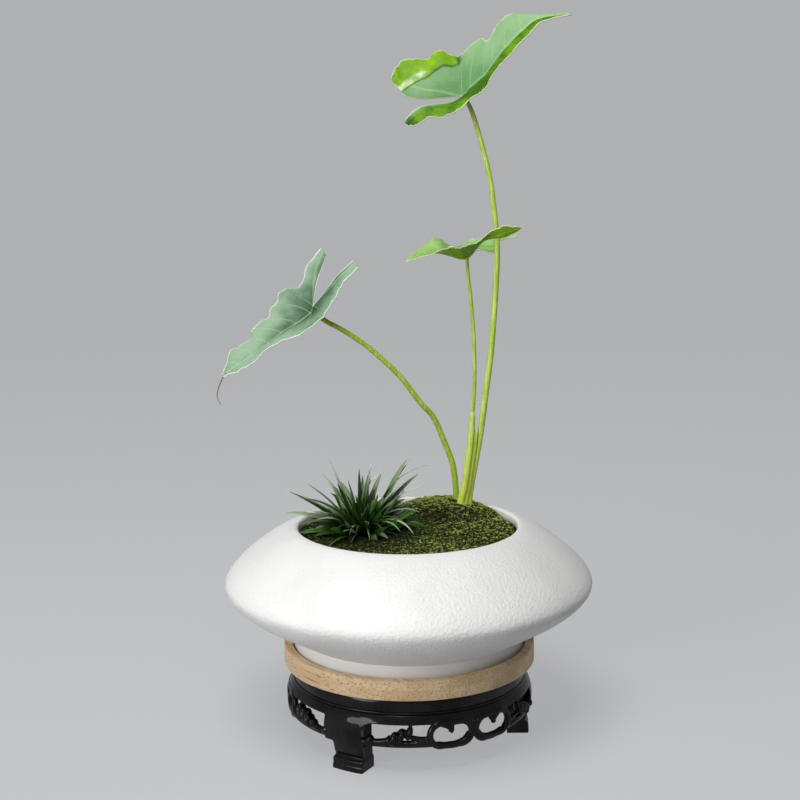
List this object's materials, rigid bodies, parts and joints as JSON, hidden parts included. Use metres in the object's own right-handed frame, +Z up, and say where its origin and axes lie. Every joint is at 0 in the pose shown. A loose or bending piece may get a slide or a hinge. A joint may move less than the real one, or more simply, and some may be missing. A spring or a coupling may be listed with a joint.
{
  "type": "flower pot with tray",
  "caption": "Low lens-shaped white ceramic flower pot with moss, grass and lobed leaves, in a round bamboo tray on a carved dark wood stand with scroll aprons.",
  "frame": {"origin": "on the table, under the vertical axis that the pot, the tray and the stand share", "axes": "+Z up; the view of the picture is along +Y, with +X to the right"},
  "size_m": [0.26, 0.26, 0.5054],
  "materials": {
    "dark_wood": "dark stained hardwood with a satin lacquer",
    "dowel_wood": "bare hardwood",
    "bamboo": "laminated bamboo, clear satin finish",
    "white_glaze": "white matte glaze with a fine wrinkled grain",
    "net_plastic": "moulded plastic net",
    "potting_mix": "loose moist potting mix, mostly bark and peat",
    "moss": "living cushion moss",
    "stalk": "smooth living stalk",
    "leaf": "waxy living leaf",
    "grass": "glossy living grass"
  },
  "bodies": {
    "stand": {"stand_panel": "dark_wood", "stand_rim_1": "dark_wood", "stand_rim_2": "dark_wood", "stand_rim_3": "dark_wood", "stand_leg_1": "dark_wood", "stand_leg_2": "dark_wood", "stand_leg_3": "dark_wood", "stand_apron_1": "dark_wood", "stand_apron_2": "dark_wood", "stand_apron_3": "dark_wood", "leg_dowels": "dowel_wood", "apron_dowels": "dowel_wood"},
    "tray": {"tray_floor_strips": "bamboo", "tray_rim_strips": "bamboo"},
    "pot": {"pot": "white_glaze", "drain_net": "net_plastic"},
    "planting": {"root_ball": "potting_mix", "moss": "moss", "stem_base": "stalk", "tall_stalk": "stalk", "tall_leaf": "leaf", "leaf_sheath": "stalk", "short_stalk": "stalk", "short_leaf": "leaf", "bent_stalk": "stalk", "bent_leaf": "leaf", "grass_crown": "grass", "grass_blades": "grass"}
  },
  "joints": [
    {"name": "tray_lift", "type": "slide", "parent": "stand", "child": "tray", "axis": [0, 0, 1], "range_m": [0, 0.12]},
    {"name": "pot_lift", "type": "slide", "parent": "tray", "child": "pot", "axis": [0, 0, 1], "range_m": [0, 0.12]},
    {"name": "planting_lift", "type": "slide", "parent": "pot", "child": "planting", "axis": [0, 0, 1], "range_m": [0, 0.12]}
  ]
}
